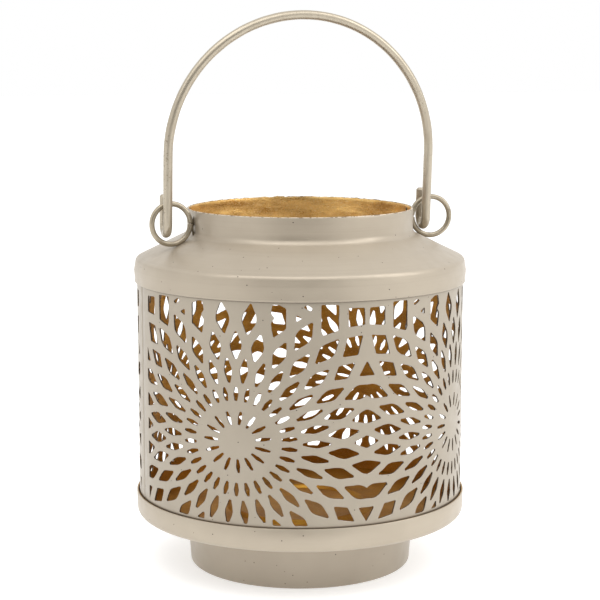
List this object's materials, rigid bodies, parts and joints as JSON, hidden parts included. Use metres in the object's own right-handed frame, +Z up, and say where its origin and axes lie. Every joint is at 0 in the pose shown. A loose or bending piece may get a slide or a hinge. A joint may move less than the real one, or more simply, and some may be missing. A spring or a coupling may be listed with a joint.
{
  "type": "tealight holder",
  "caption": "Round metal tealight holder: pierced sleeve on a pan and foot, coned shoulder with neck, two side rings and a swinging wire bail.",
  "frame": {"origin": "centre of the foot ring's underside, where the holder stands", "axes": "+Z up along the body's axis, +X along the bail's hinge axis towards the right ring, -Y the front, the side the bail's legs hang on"},
  "size_m": [0.1018, 0.1018, 0.1693],
  "materials": {
    "outer_paint": "satin warm greige paint outside, rough gold paint inside",
    "sleeve_paint": "satin warm greige paint outside, rough gold paint inside",
    "ring_wire": "dull grey-bronze paint, rubbed thin",
    "bail_wire": "satin warm greige paint"
  },
  "bodies": {
    "body": {"foot_ring": "outer_paint", "base_pan": "outer_paint", "perforated_sleeve": "sleeve_paint", "shoulder_collar": "outer_paint", "left_ring": "ring_wire", "right_ring": "ring_wire"},
    "bail": {"bail_handle": "bail_wire"}
  },
  "joints": [
    {"name": "bail_swing", "type": "hinge", "parent": "body", "child": "bail", "pos_m": [0, -0.004, 0.11205], "axis": [1, 0, 0], "range_deg": [-109, 101]}
  ]
}
